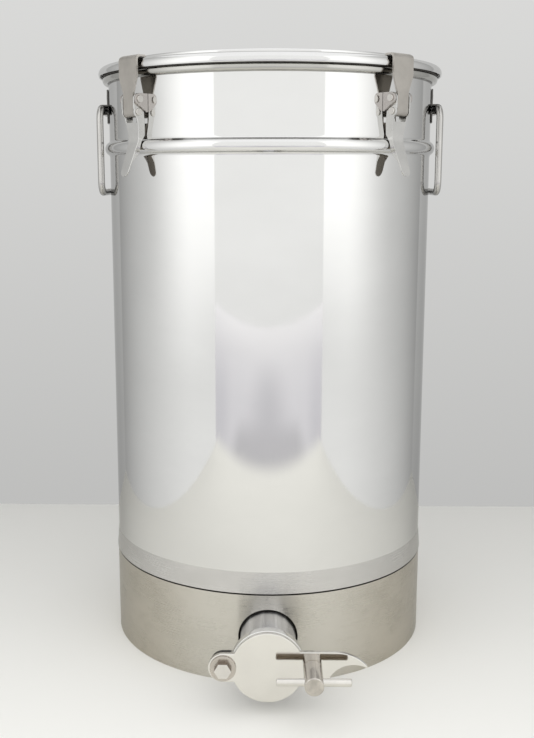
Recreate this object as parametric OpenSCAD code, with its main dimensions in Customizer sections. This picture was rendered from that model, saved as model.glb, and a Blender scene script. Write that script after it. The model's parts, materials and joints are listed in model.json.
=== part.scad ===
// Honey settling tank: a lidded stainless cylinder on a base skirt, with a swinging gate
// tap at the foot, toggle latches round the lid and a drop handle on each side.
// Millimetres. Z is up and the origin is on the tank's axis at floor level.
// The tap faces -Y. An azimuth is counted from the tap towards +X.

/* [Tank] */
// Outer diameter of the cylindrical wall
tank_d = 315; // [280:1:360]
// Thickness of the wall's sheet
wall_t = 1; // [0.8:0.1:2]
// Height of the rolled rim above the floor
rim_z = 557; // [480:1:640]
// Diameter of the wired roll round the rim
rim_roll_d = 6; // [5:0.5:9]
// Distance from the rim down to the middle of the stiffening bead
bead_drop = 66; // [64:0.5:70]
// Height of the stiffening bead
bead_h = 13; // [10:0.5:14]
// How far the stiffening bead stands proud of the wall
bead_proud = 4.5; // [2.5:0.25:5]

/* [Base] */
// Height of the seam between the tank and its base skirt
seam_z = 87.8; // [80:0.2:110]
// Height of the flared band above the seam
band_h = 20.5; // [12:0.5:30]
// How far the band flares outwards at the seam
band_flare = 1.5; // [0.5:0.1:3]
// Thickness of the skirt's sheet
skirt_t = 1; // [0.8:0.1:2]
// How far the skirt lies inside the flared band
skirt_step = 0.6; // [0.3:0.1:1.5]
// Height of the gap that shows at the seam
seam_gap = 1.5; // [0.3:0.1:1.8]
// Height of the skirt's collar that is tucked inside the tank
collar_h = 14; // [8:0.5:20]
// Width and height of the hem folded inwards at the foot
hem = 3; // [2.5:0.25:6]

/* [Bottom pan] */
// Height of the pan's inner floor
floor_z = 20; // [14:0.25:21]
// Thickness of the pan's sheet
pan_t = 1; // [0.8:0.1:1.5]
// Outer radius of the pan's bottom corner
pan_corner_r = 8; // [4:0.5:14]
// Height of the lip that meets the tank's wall
pan_lip_h = 6; // [3:0.5:12]

/* [Lid] */
// How far the lid reaches past the rolled rim
lid_over = 3.8; // [2:0.1:4.5]
// Thickness of the lid's sheet
lid_t = 1.2; // [0.8:0.1:2]
// Height of the lid's rim above the tank's rim
lid_rim_h = 10; // [9:0.5:14]
// Radius of the rim's outer edge
lid_edge_r = 6; // [3:0.5:7]
// Height of the raised middle above the lid's rim
crown_h = 4; // [2:0.5:8]
// Width of the shelf round the raised middle
shelf_w = 18.8; // [16.5:0.1:30]
// Depth of the spigot inside the tank
spigot_h = 10; // [6:0.5:20]
// How far the lid's edge hangs below the top of the tank's rim
lid_drop = 0.8; // [0:0.1:1.5]
// Width of the gasket under the lid's rim
gasket_w = 5; // [4:0.25:6]

/* [Toggle latches] */
// Azimuth of the first latch; the others follow at quarter turns
latch_az = 43; // [38:0.5:52]
// Distance from the rim down to the lever's pivot
pivot_drop = 25.5; // [24:0.25:28]
// Gap between the lid's edge and the hook's strip
hook_gap = 1.55; // [1:0.05:3]
// Distance from the lever's pivot to the hook's pin
toggle_len = 11; // [10.5:0.25:12]
// How far the hook's pin lies inside the lever's pivot when closed
over_centre = 0.2; // [0:0.1:0.6]
// Diameter of the latch pins
pin_d = 5; // [4:0.25:5]
// Width of metal round the pin holes
eye_wall = 2.5; // [2:0.1:3]
// How far a rivet's head reaches past its pin
rivet_lip = 0.6; // [0.5:0.1:1.2]
// Height of a rivet's head
rivet_head_h = 1.2; // [0.8:0.1:1.6]
// Width over the lever's flanges
lever_w = 18.8; // [17:0.2:22]
// Thickness of the lever's sheet
lever_t = 1.5; // [1:0.1:2]
// Distance from the lever's pivot down to its tip
lever_len = 67; // [58:0.5:80]
// Width of the lever's tip
tip_w = 11.2; // [8:0.2:14]
// Width of the lever at its waist
waist_w = 15.2; // [13:0.2:17]
// Gap between the bead's crown and the lever's web
waist_gap = 1.9; // [1.5:0.1:2.5]
// Height of the waist above the bead
waist_rise = 0.5; // [0:0.1:2]
// Radius of the lever's curve above its waist
waist_up_r = 60; // [45:1:80]
// Radius of the lever's bend below its waist
waist_down_r = 12; // [10:0.5:20]
// Angle at which the lever's tip leans away from the tank
tip_lean = 21; // [16:0.5:24]
// How far the lever's flanges run on below its waist
flange_run = 25; // [20:0.5:27]
// Height of the flanges' knee above the waist
knee_rise = 2.5; // [2:0.1:4]
// Gap between the tank and the lever's flanges
flange_gap = 0.8; // [0.6:0.1:1.2]
// Gap between the hook's curl and the lever's web
curl_gap = 4.4; // [3:0.1:6]
// Thickness of the bracket's cheeks and base
cheek_t = 2; // [1.5:0.1:2.5]
// Width of the hook over the lid
hook_w = 26; // [20:0.2:30]
// Gap between the hook's strip and the lever's flanges
strip_gap = 0.55; // [0.3:0.05:1.5]
// Thickness of the hook's sheet
hook_t = 2; // [1.5:0.1:2.2]
// Outer radius of the hook's bend
hook_bend = 5; // [3:0.25:6]
// Height over which the hook widens
taper_h = 14.2; // [10:0.2:16]
// Size of the hook's clipped corners
hook_corner = 2; // [1:0.1:4]
// How far the hook's lip reaches over the lid's rim
lip_reach = 7.8; // [5:0.1:10]

/* [Handles] */
// Width of a handle between the middles of its legs
handle_w = 90; // [80:1:110]
// Height of a handle between the middles of its bars
handle_h = 78.5; // [60:0.5:90]
// Diameter of the handle's bar
handle_d = 6.5; // [5:0.25:8]
// Gap between the tank's wall and the handle's bar
handle_gap = 0.55; // [0.4:0.05:2]
// Radius of the handle's corners at the middle of the bar
handle_corner = 11; // [8:0.5:16]
// Distance from the rim down to the handle's pivot bar
handle_drop = 29; // [27:0.5:36]
// Width of the strap that holds the pivot bar
strap_w = 56; // [40:1:64]
// Thickness of the strap
strap_t = 1.5; // [1:0.1:2]
// Height of the strap's lower welded tab
tab_h = 8; // [5:0.5:12]
// Height of the strap's upper welded tab
tab_rise = 14; // [6:0.5:14]

/* [Outlet] */
// Outer diameter of the outlet pipe
pipe_d = 51; // [42:0.5:52]
// Wall of the outlet pipe
pipe_t = 1.5; // [1:0.1:2]
// Height of the outlet's bore above the pan's floor
outlet_rise = 1; // [0:0.25:8]
// Length of pipe between the tank's wall and the valve
pipe_reach = 49; // [30:0.5:80]

/* [Gate valve] */
// How far the gate's disc reaches past the outlet's bore
land_w = 7.9; // [6:0.1:10]
// Thickness of the valve's flange
flange_t = 8; // [6:0.25:12]
// How far the flange shows round the gate's disc
flange_rim = 0.8; // [0:0.1:2]
// Thickness of the gate
gate_t = 4; // [3:0.25:6]
// Distance from the edge of the gate's disc to the pivot bolt and to the clamp stud
ear_out = 7.1; // [6.5:0.1:14]
// Radius of the gate's ear round the bolt
ear_r = 13; // [11.5:0.25:15]
// How much smaller the flange's ears are than the gate's
ear_shy = 1.8; // [0:0.1:2.5]
// Thickness of the sealing ring
seal_d = 3; // [2:0.1:3]
// How far the sealing ring stands out of its groove
seal_proud = 0.1; // [0.05:0.05:0.3]
// Diameter of the pivot bolt and the clamp stud
bolt_d = 8; // [6:0.5:8]
// Width across the flats of the bolt's head and the nuts
hex_w = 13; // [11:0.5:14]
// Height of the bolt's head
head_h = 5.3; // [4:0.1:7]
// Height of the nuts
nut_h = 6.5; // [5:0.1:8]
// Length of thread that shows behind the nuts
thread_end = 2; // [1:0.25:5]
// Diameter of the pivot washer
washer_d = 23; // [18:0.5:24]
// Thickness of the pivot washer
washer_t = 1.6; // [1:0.1:2.5]
// Height of the gate's arm above the outlet's axis
arm_rise = 15; // [13:0.25:18]
// Reach of the gate's thumb fin past the clamp stud
fin_len = 47.5; // [40:0.5:54]
// Length of the fin's curved end
fin_end = 28; // [22:0.5:32]
// How far the fin's curved end drops
fin_drop = 12.6; // [9:0.2:13]
// Width of the fin's tip
fin_tip = 1.9; // [1:0.1:4]
// Radius of the hollow under the fin
fin_hollow_r = 24; // [20:0.5:28]

/* [Clamp knob] */
// Diameter of the knob's barrel
knob_d = 16.5; // [13:0.25:18]
// Length of the knob's barrel
knob_len = 33; // [28:0.5:40]
// Diameter of the tommy bar
bar_d = 6.75; // [4:0.25:7]
// Length of the tommy bar
bar_len = 64; // [50:1:72]
// Distance from the knob's end to the middle of the tommy bar
bar_set = 9; // [7:0.25:11]
// Thickness of metal between the stud's bore and the tommy bar
bore_floor = 2; // [1:0.25:4]
// Size of the chamfers on the knob and the bar
chamfer = 0.8; // [0.4:0.1:1.2]

/* [Clearances] */
// Gap at welded and tucked seams
weld_gap = 0.2; // [0.1:0.05:0.3]
// Radial running clearance of pins and shafts
pin_gap = 0.05; // [0.02:0.01:0.1]
// Gap between faces that pass each other
move_gap = 0.3; // [0.2:0.05:0.5]
// Gap round the outlet pipe where it leaves the skirt
hole_gap = 2; // [0.4:0.1:2.4]

/* [Hidden] */
$fn = 96;
SIDES = ["front_right", "back_right", "back_left", "front_left"];

// Spare length by which a cutter passes through what it cuts
cut = 1;

// Radii and heights of the tank
tank_r = tank_d / 2;
inner_r = tank_r - wall_t;
roll_r = rim_roll_d / 2;
bead_z = rim_z - bead_drop;
bead_arc_r = (bead_proud^2 + (bead_h / 2)^2) / (2 * bead_proud);
bead_mid_r = tank_r + bead_proud - bead_arc_r;

// Radii of the skirt and the pan, from the tank's wall inwards
skirt_r = tank_r + band_flare - skirt_step;
collar_r = inner_r - weld_gap;
pan_r = collar_r - skirt_t - weld_gap;
collar_top = seam_z + collar_h;
pan_lip_z = collar_top + weld_gap;

// Lid
roll_mid_r = inner_r + roll_r + wall_t / 2;
lid_r = roll_mid_r + roll_r + lid_over;
lid_top = rim_z + lid_rim_h;
crown_r = lid_r - shelf_w;
spigot_r = inner_r - move_gap;

// Latch, seen from the side: x is the radius from the tank's axis, y is the height
pin_r = pin_d / 2;
nose_r = pin_r + eye_wall;
curl_r = pin_r + pin_gap + hook_t;
hook_in = lid_r + hook_gap;
hook_out = hook_in + hook_t;
hook_pin = [hook_out - curl_r, rim_z - pivot_drop - toggle_len];
pivot = hook_pin + [over_centre, toggle_len];
lip_low = lid_top + move_gap;
lip_top = lip_low + hook_t;
lip_end = lid_r - lip_reach;
rivet_head_r = pin_r + rivet_lip;
flange_in = lever_w / 2 - lever_t;
strip_half = flange_in - strip_gap;
cheek_in = lever_w / 2 + move_gap;
cheek_out = cheek_in + cheek_t;
// The lever comes nearest to the tank at its waist
bead_out = tank_r + bead_proud;
waist = [bead_out + waist_gap + lever_t, bead_z + bead_h / 2 + waist_rise];
web_top = hook_pin.y - curl_r - curl_gap;
tip_z = pivot.y - lever_len;

// Handle
bar_r = handle_d / 2;
handle_r = tank_r + handle_gap + bar_r;
handle_z = rim_z - handle_drop;
eye_r = bar_r + pin_gap;

// Outlet and valve: distances are counted from the tank's axis towards the tap
pipe_in = pipe_d / 2 - pipe_t;
outlet_z = floor_z + outlet_rise + pipe_in;
disc_r = pipe_in + land_w;
arm_len = disc_r + ear_out;
fin_reach = arm_len + fin_len;
flange_back = tank_r + pipe_reach;
flange_face = flange_back + flange_t;
gate_back = flange_face + seal_proud + move_gap;
gate_face = gate_back + gate_t;
seal_r = (pipe_in + disc_r) / 2;
shank_r = bolt_d / 2;
thread_back = flange_back - nut_h - thread_end;
knob_back = gate_face + move_gap;
knob_end = knob_back + knob_len;
bar_y = knob_end - bar_set;
stud_end = bar_y - bar_d / 2 - bore_floor;

function latch_azimuth(i) = latch_az + 90 * i;

// Point where a line from p touches a circle at c, clockwise of the middle when turn is 1
function touch(p, c, r, turn) =
    let (d = c - p, a = atan2(d.y, d.x) - turn * asin(r / norm(d)), l = sqrt(d * d - r * r))
    p + l * [cos(a), sin(a)];

// Radius at which the front of the lever's leaning tip lies, at a height
function web_face(z) = waist.x + waist_down_r * (1 - cos(tip_lean))
    + (waist.y - waist_down_r * sin(tip_lean) - z) * tan(tip_lean);

// A half outline, from bottom to top, closed by its mirror image
function mirrored(half) = concat(half, [for (i = [len(half) - 1:-1:0]) [-half[i].x, half[i].y]]);

// A side view (radius, height) made into a slab that faces the tap
module side_slab(w) {
    rotate([0, 0, -90]) rotate([90, 0, 0]) linear_extrude(height = w, center = true) children();
}

// A front view (across, height) made into a slab between two distances from the axis
module front_slab(near, far) {
    translate([0, -near, 0]) rotate([90, 0, 0]) linear_extrude(height = far - near) children();
}

// A turned profile (radius, distance) about a line that points out of the tap
module turned(x, z) {
    translate([x, 0, z]) rotate([90, 0, 0]) rotate_extrude() children();
}

// A sheet sleeve in profile
module sleeve(r, t, low, high) {
    translate([r - t, low]) square([t, high - low]);
}

// Tank wall with its rolled rim, its bead and its flared foot
module tank_body() {
    color("gainsboro") rotate_extrude() {
        difference() {
            sleeve(tank_r, wall_t, seam_z + band_h, rim_z - roll_r);
            translate([0, bead_z - bead_h / 2]) square([tank_r + cut, bead_h]);
        }
        translate([bead_mid_r, bead_z]) intersection() {
            difference() {
                circle(bead_arc_r);
                circle(bead_arc_r - wall_t);
            }
            translate([inner_r - bead_mid_r, -bead_h]) square([2 * bead_arc_r, 2 * bead_h]);
        }
        translate([roll_mid_r, rim_z - roll_r]) circle(roll_r);
        polygon([
            [inner_r, seam_z + band_h], [inner_r + band_flare, seam_z],
            [tank_r + band_flare, seam_z], [tank_r, seam_z + band_h]
        ]);
    }
}

// Base skirt: a collar inside the tank, a shoulder at the seam and a hem at the foot
module base_skirt() {
    color("darkgray") difference() {
        rotate_extrude() {
            sleeve(skirt_r, skirt_t, 0, seam_z - seam_gap);
            sleeve(skirt_r, hem, 0, hem);
            sleeve(collar_r, skirt_t, seam_z - hem, collar_top);
            sleeve(skirt_r, skirt_r - collar_r + skirt_t, seam_z - hem, seam_z - seam_gap);
        }
        front_slab(tank_r / 2, tank_r + cut) translate([0, outlet_z]) circle(pipe_d / 2 + hole_gap);
    }
}

// The pan's filled outline, drawn larger by a gap
module pan_outline(gap) {
    r = pan_r + gap;
    low = floor_z - pan_t - gap;
    c = pan_corner_r + gap;
    translate([0, low]) square([r - c, pan_lip_z - low]);
    translate([0, low + c]) square([r, pan_lip_z - low - c]);
    translate([r - c, low + c]) circle(c);
}

// Bottom pan, a pressed dish whose lip meets the tank's wall
module bottom_pan() {
    color("silver") difference() {
        rotate_extrude() difference() {
            union() {
                pan_outline(0);
                sleeve(collar_r, collar_r - pan_r + pan_t, pan_lip_z, pan_lip_z + pan_lip_h);
            }
            pan_outline(-pan_t);
            translate([0, pan_lip_z - cut]) square([pan_r - pan_t, pan_lip_h + 2 * cut]);
        }
        front_slab(tank_r / 2, tank_r) translate([0, outlet_z]) circle(pipe_in);
    }
}

// Upper half of the lid's outline, drawn smaller by an inset
module lid_outline(inset, low) {
    r = lid_r - inset;
    top = lid_top - inset;
    e = lid_edge_r - inset;
    translate([0, low]) square([crown_r - inset, top + crown_h - low]);
    translate([0, low]) square([r - e, top - low]);
    translate([0, low]) square([r, top - e - low]);
    translate([r - e, top - e]) intersection() {
        circle(e);
        square(e);
    }
}

// Lid: raised middle, rolled outer edge and a spigot that centres it in the tank
module lid() {
    low = rim_z - lid_drop;
    color("whitesmoke") rotate_extrude() {
        difference() {
            lid_outline(0, low);
            lid_outline(lid_t, low - cut);
        }
        sleeve(spigot_r, lid_t, rim_z - spigot_h, lid_top - lid_t / 2);
    }
}

// Silicone gasket between the lid's shelf and the rolled rim
module lid_gasket() {
    low = rim_z - roll_r / 4;
    color("ivory") rotate_extrude() difference() {
        intersection() {
            sleeve(roll_mid_r + gasket_w / 2, gasket_w, low, lid_top);
            lid_outline(lid_t + weld_gap, low - cut);
        }
        translate([roll_mid_r, rim_z - roll_r]) circle(roll_r + pin_gap);
    }
}

// Outlet pipe, coped to the pan and butted against the valve
module outlet_pipe() {
    color("silver") difference() {
        front_slab(pan_r - pan_corner_r, flange_back) translate([0, outlet_z]) difference() {
            circle(pipe_d / 2);
            circle(pipe_in);
        }
        rotate_extrude() pan_outline(weld_gap);
    }
}

// One ear of the valve, from the disc out to its round end
module ear(x, r) {
    translate([min(x, 0), -r]) square([abs(x), 2 * r]);
    translate([x, 0]) circle(r);
}

// Valve body: a flange with two ears, a through bore and a groove for the sealing ring
module valve_body() {
    color("lightgray") difference() {
        front_slab(flange_back, flange_face) translate([0, outlet_z]) difference() {
            union() {
                circle(disc_r + flange_rim);
                ear(-arm_len, ear_r - ear_shy);
                ear(arm_len, ear_r - ear_shy);
            }
            circle(pipe_in);
            for (x = [-arm_len, arm_len]) translate([x, 0]) circle(shank_r + pin_gap);
        }
        front_slab(flange_face - seal_d, flange_face + cut) translate([0, outlet_z]) difference() {
            circle(seal_r + seal_d / 2 + pin_gap);
            circle(seal_r - seal_d / 2 - pin_gap);
        }
    }
}

// Sealing ring in the valve's groove
module valve_seal() {
    color("dimgray") turned(0, outlet_z)
        translate([seal_r, flange_face + seal_proud - seal_d / 2]) circle(seal_d / 2);
}

// The gate's outline: disc, pivot ear, arm and thumb fin
module gate_outline() {
    fin_start = fin_reach - fin_end;
    fin_top_r = (fin_end^2 + fin_drop^2) / (2 * fin_drop);
    tip_low = arm_rise - fin_drop - fin_tip;
    difference() {
        union() {
            circle(disc_r);
            ear(-arm_len, ear_r);
            translate([0, cut - ear_r]) square([fin_start, arm_rise + ear_r - cut]);
            intersection() {
                translate([fin_start, arm_rise - fin_top_r]) circle(fin_top_r);
                translate([fin_start - cut, -ear_r]) square([fin_end + cut, arm_rise + ear_r]);
            }
        }
        translate([fin_reach - fin_hollow_r / 2, tip_low - fin_hollow_r * cos(30)]) circle(fin_hollow_r);
    }
}

// Swinging gate: turns about the pivot bolt and hooks over the clamp stud
module gate_plate() {
    slot_r = shank_r + move_gap;
    span = 2 * arm_len;
    color("gainsboro") front_slab(gate_back, gate_face) translate([0, outlet_z]) difference() {
        gate_outline();
        translate([-arm_len, 0]) circle(shank_r + pin_gap);
        translate([arm_len, 0]) circle(slot_r);
        translate([-arm_len, 0]) intersection() {
            difference() {
                circle(span + slot_r);
                circle(span - slot_r);
            }
            translate([span / 2, -3 * ear_r]) square([span, 3 * ear_r]);
        }
    }
}

// Hexagon bar that points out of the tap
module hexagon(x, near, far) {
    front_slab(near, far) translate([x, outlet_z]) circle(d = hex_w / cos(30), $fn = 6);
}

// Round bar that points out of the tap
module rod(x, r, near, far) {
    front_slab(near, far) translate([x, outlet_z]) circle(r);
}

// Hexagon bolt on which the gate swings
module pivot_bolt() {
    head = gate_face + move_gap + washer_t;
    color("silver") {
        rod(-arm_len, shank_r, thread_back, head + cut);
        hexagon(-arm_len, head, head + head_h);
    }
}

// Washer between the bolt's head and the gate
module pivot_washer() {
    near = gate_face + move_gap;
    color("lightgray") front_slab(near, near + washer_t) translate([-arm_len, outlet_z]) difference() {
        circle(washer_d / 2);
        circle(shank_r + pin_gap);
    }
}

// Nuts behind the ears, on the pivot bolt and on the clamp stud
module valve_nuts() {
    color("silver") for (x = [-arm_len, arm_len]) difference() {
        hexagon(x, flange_back - nut_h, flange_back);
        rod(x, shank_r + pin_gap, flange_back - nut_h - cut, flange_back + cut);
    }
}

// Stud on which the clamp knob turns
module clamp_stud() {
    color("silver") rod(arm_len, shank_r, thread_back, stud_end);
}

// Barrel of the clamp knob, with a blind bore for the stud and a cross hole for the bar
module clamp_knob() {
    r = knob_d / 2;
    bore_r = shank_r + pin_gap;
    color("darkgray") difference() {
        turned(arm_len, outlet_z) polygon([
            [bore_r, knob_back], [r - chamfer, knob_back], [r, knob_back + chamfer],
            [r, knob_end - chamfer], [r - chamfer, knob_end], [0, knob_end],
            [0, stud_end + move_gap], [bore_r, stud_end + move_gap]
        ]);
        translate([arm_len, -bar_y, outlet_z]) rotate([0, 90, 0])
            cylinder(r = bar_d / 2 + pin_gap, h = knob_d + 2 * cut, center = true);
    }
}

// Tommy bar through the knob
module tommy_bar() {
    r = bar_d / 2;
    h = bar_len / 2;
    color("lightgray") translate([arm_len, -bar_y, outlet_z]) rotate([0, 90, 0]) rotate_extrude()
        polygon([
            [0, -h], [r - chamfer, -h], [r, chamfer - h],
            [r, h - chamfer], [r - chamfer, h], [0, h]
        ]);
}

// Strap that holds a handle: a U round the bar, with tabs that follow the tank's wall
module handle_strap() {
    out_r = eye_r + strap_t;
    foot_r = tank_r + weld_gap;
    back = tank_r / 2;
    color("silver") difference() {
        union() {
            side_slab(strap_w) {
                translate([handle_r, handle_z]) circle(out_r);
                translate([back, handle_z - out_r]) square([handle_r - back, 2 * out_r]);
            }
            intersection() {
                translate([0, 0, handle_z - out_r - tab_h])
                    cylinder(r = foot_r + strap_t, h = 2 * out_r + tab_h + tab_rise);
                translate([-strap_w / 2, -lid_r, 0]) cube([strap_w, tank_r, rim_z]);
            }
        }
        side_slab(strap_w + 2 * cut) {
            translate([handle_r, handle_z]) circle(eye_r);
            translate([back, handle_z - eye_r]) square([handle_r - back, 2 * eye_r]);
        }
        cylinder(r = foot_r, h = rim_z + lid_rim_h);
    }
}

// Drop handle: a closed ring of bent bar
module handle_ring() {
    x = handle_w / 2;
    c = handle_corner;
    color("silver") translate([0, -handle_r, handle_z]) {
        for (z = [0, -handle_h]) translate([0, 0, z]) rotate([0, 90, 0])
            cylinder(r = bar_r, h = handle_w - 2 * c, center = true);
        for (s = [-1, 1]) translate([s * x, 0, -handle_h / 2])
            cylinder(r = bar_r, h = handle_h - 2 * c, center = true);
        for (i = [0:3]) {
            s = (i == 0 || i == 3) ? 1 : -1;
            z = (i < 2) ? -c : c - handle_h;
            translate([s * (x - c), 0, z]) rotate([90, 0, 0]) rotate([0, 0, 90 * i])
                rotate_extrude(angle = 90) translate([c, 0]) circle(bar_r);
        }
    }
}

// Latch bracket: a base that follows the tank's wall and two tapered cheeks
module latch_bracket() {
    foot_r = tank_r + weld_gap;
    root = foot_r + cheek_t / 2;
    base_low = hook_pin.y;
    base_high = pivot.y + nose_r;
    low = [root, base_low];
    color("lightgray") difference() {
        union() {
            intersection() {
                translate([0, 0, base_low]) cylinder(r = foot_r + cheek_t, h = base_high - base_low);
                translate([-cheek_out, -lid_r, 0]) cube([2 * cheek_out, tank_r, rim_z]);
            }
            for (s = [-1, 1]) translate([s * (cheek_in + cheek_t / 2), 0, 0]) side_slab(cheek_t) {
                translate(pivot) circle(nose_r);
                polygon([
                    [root - cheek_t, base_high], pivot + [0, nose_r], pivot,
                    touch(low, pivot, nose_r, 1), low, [root - cheek_t, base_low]
                ]);
            }
        }
        cylinder(r = foot_r, h = rim_z + lid_rim_h);
        side_slab(2 * cheek_out + 2 * cut) translate(pivot) circle(pin_r + pin_gap);
    }
}

// Round bar across a latch
module cross_bar(at, r, middle, length) {
    translate([middle, 0, 0]) side_slab(length) translate(at) circle(r);
}

// Two short rivets on which the lever turns, flush inside so that the hook passes between them
module pivot_rivets() {
    head = cheek_out + pin_gap;
    shank = head - flange_in + rivet_head_h / 2;
    color("gray") for (s = [-1, 1]) {
        cross_bar(pivot, pin_r, s * (flange_in + shank / 2), shank);
        cross_bar(pivot, rivet_head_r, s * (head + rivet_head_h / 2), rivet_head_h);
    }
}

// Rivet on which the hook turns, through both flanges and with a head at each end
module hook_rivet() {
    head = lever_w / 2 + pin_gap;
    color("gray") {
        cross_bar(hook_pin, pin_r, 0, 2 * head + rivet_head_h);
        for (s = [-1, 1]) cross_bar(hook_pin, rivet_head_r, s * (head + rivet_head_h / 2), rivet_head_h);
    }
}

// Side view of the space in front of the lever's web, drawn larger by a thickness
module web_front(t) {
    far = 2 * lever_len;
    translate([waist.x + waist_up_r, waist.y]) intersection() {
        circle(waist_up_r + t);
        translate([-far, 0]) square([far, far]);
    }
    translate([waist.x + waist_down_r, waist.y]) {
        intersection() {
            circle(waist_down_r + t);
            translate([-far, -far]) square([far, 2 * far]);
        }
        rotate(tip_lean) translate([-waist_down_r - t, -far]) square([waist_down_r + t, far]);
    }
}

// Side view of the lever's web, from the hook's curl down past its tip
module lever_web() {
    intersection() {
        difference() {
            web_front(lever_t);
            web_front(0);
        }
        translate([tank_r, tip_z - cut]) square([lever_len, web_top - tip_z + cut]);
    }
}

// Side view of a lever flange, from its round nose down to where it runs out into the web
module flange_side() {
    low = waist.y - flange_run;
    knee = [tank_r + flange_gap, waist.y + knee_rise];
    translate(hook_pin) circle(nose_r);
    difference() {
        union() {
            translate(pivot) circle(nose_r);
            polygon([
                pivot + [nose_r, 0], pivot - [nose_r, 0],
                knee, touch(knee, [bead_mid_r, bead_z], bead_arc_r + flange_gap, -1),
                [bead_out + flange_gap, bead_z], [bead_out + 2 * flange_gap, bead_z - bead_h / 2],
                [web_face(low) + cut, low], [pivot.x + nose_r, waist.y]
            ]);
        }
        web_front(0);
    }
}

// Front view of the lever, drawn smaller by an inset
module lever_face(inset) {
    tip = tip_w / 2 - inset;
    tip_mid = tip_z + tip_w / 2;
    translate([0, tip_mid]) circle(tip);
    polygon(mirrored([
        [tip, tip_mid], [waist_w / 2 - inset, waist.y],
        [lever_w / 2 - inset, web_top], [lever_w / 2 - inset, rim_z + inset]
    ]));
}

// Toggle lever: a channel whose web ends in a thumb tip, open above the hook's pin
module latch_lever() {
    color("silver") difference() {
        union() {
            intersection() {
                side_slab(lever_w) lever_web();
                front_slab(tank_r, tank_r + lever_len) lever_face(0);
            }
            intersection() {
                side_slab(lever_w) flange_side();
                front_slab(tank_r, tank_r + lever_len) difference() {
                    lever_face(0);
                    lever_face(lever_t);
                }
            }
        }
        side_slab(lever_w + 2 * cut) {
            translate(pivot) circle(pin_r + pin_gap);
            translate(hook_pin) circle(pin_r + pin_gap);
        }
    }
}

// Side view of the hook: a lip over the lid, a flat strip and a curl round its pin
module hook_side() {
    inner = hook_bend - hook_t;
    base = hook_pin.y;
    translate(hook_pin) circle(curl_r);
    difference() {
        union() {
            translate([lip_end, base]) square([hook_out - hook_bend - lip_end, lip_top - base]);
            translate([lip_end, base]) square([hook_out - lip_end, lip_top - hook_bend - base]);
            translate([hook_out - hook_bend, lip_top - hook_bend]) circle(hook_bend);
        }
        translate([lip_end - cut, base - cut]) {
            square([hook_in - inner - lip_end + cut, lip_low - base + cut]);
            square([hook_in - lip_end + cut, lip_low - inner - base + cut]);
        }
        translate([hook_in - inner, lip_low - inner]) circle(inner);
    }
}

// Hook: wide where it grips the lid, narrow between the lever's flanges
module latch_hook() {
    taper_low = pivot.y + nose_r;
    grip = hook_w / 2;
    color("darkgray") difference() {
        intersection() {
            side_slab(hook_w) hook_side();
            front_slab(lip_end - cut, hook_out + cut) polygon(mirrored([
                [strip_half, hook_pin.y - curl_r - cut], [strip_half, taper_low],
                [grip, taper_low + taper_h], [grip, lip_top - hook_corner],
                [grip - hook_corner, lip_top], [grip - hook_corner, lip_top + cut]
            ]));
        }
        side_slab(hook_w) translate(hook_pin) circle(pin_r + pin_gap);
    }
}

tank_body();
base_skirt();
bottom_pan();
lid();
lid_gasket();
outlet_pipe();
valve_body();
valve_seal();
gate_plate();
pivot_bolt();
pivot_washer();
valve_nuts();
clamp_stud();
clamp_knob();
tommy_bar();
rotate([0, 0, -90]) handle_strap();  // handle_strap_left
rotate([0, 0, 90]) handle_strap();  // handle_strap_right
rotate([0, 0, -90]) handle_ring();  // handle_left
rotate([0, 0, 90]) handle_ring();  // handle_right
for (i = [0:3]) rotate([0, 0, latch_azimuth(i)]) {
    latch_bracket();
    pivot_rivets();
    latch_lever();
    hook_rivet();
    latch_hook();
}
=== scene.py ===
# %% [markdown]
# # A honey settling tank in stainless steel
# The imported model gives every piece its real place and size. This script gives the tank its looks:
# mirror polished sheet, a brushed skirt, stamped latches, bent bar handles and a turned gate tap.
# Polished steel has almost no colour of its own. It shows the room, so the room is built with care.

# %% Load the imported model
import json
import math

import bmesh
import bpy
from mathutils import Matrix, Vector

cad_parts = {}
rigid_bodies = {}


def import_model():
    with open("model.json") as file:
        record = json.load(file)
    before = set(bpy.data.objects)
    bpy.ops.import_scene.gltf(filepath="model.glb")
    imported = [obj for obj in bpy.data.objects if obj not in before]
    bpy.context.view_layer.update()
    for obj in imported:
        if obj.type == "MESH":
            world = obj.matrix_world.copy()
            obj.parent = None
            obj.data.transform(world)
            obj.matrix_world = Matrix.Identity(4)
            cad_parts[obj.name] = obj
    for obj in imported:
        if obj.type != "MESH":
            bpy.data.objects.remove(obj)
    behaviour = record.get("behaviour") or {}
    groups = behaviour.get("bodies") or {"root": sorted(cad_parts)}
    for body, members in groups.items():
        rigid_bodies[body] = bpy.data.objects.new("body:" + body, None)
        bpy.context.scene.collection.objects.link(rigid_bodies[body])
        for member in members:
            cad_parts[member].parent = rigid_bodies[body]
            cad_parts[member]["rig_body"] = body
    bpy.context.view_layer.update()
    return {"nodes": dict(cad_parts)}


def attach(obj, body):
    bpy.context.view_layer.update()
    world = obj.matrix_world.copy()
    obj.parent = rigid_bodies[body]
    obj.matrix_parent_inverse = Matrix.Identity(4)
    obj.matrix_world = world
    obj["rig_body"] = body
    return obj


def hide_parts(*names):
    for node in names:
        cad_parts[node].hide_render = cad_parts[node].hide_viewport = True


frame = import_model()
nodes = frame["nodes"]
MM = 0.001

# %% [markdown]
# ## The camera
# The photograph was taken from a little below the lid, looking slightly down. A camera is a point, a
# direction and a focal length, so those three are written here as they were found. The focal length is
# given in pixels of the picture and turned into a lens for Blender's sensor, which spans the long side.
# The picture was cropped off centre, and the lens shift puts the middle of the view back where it was.

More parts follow.
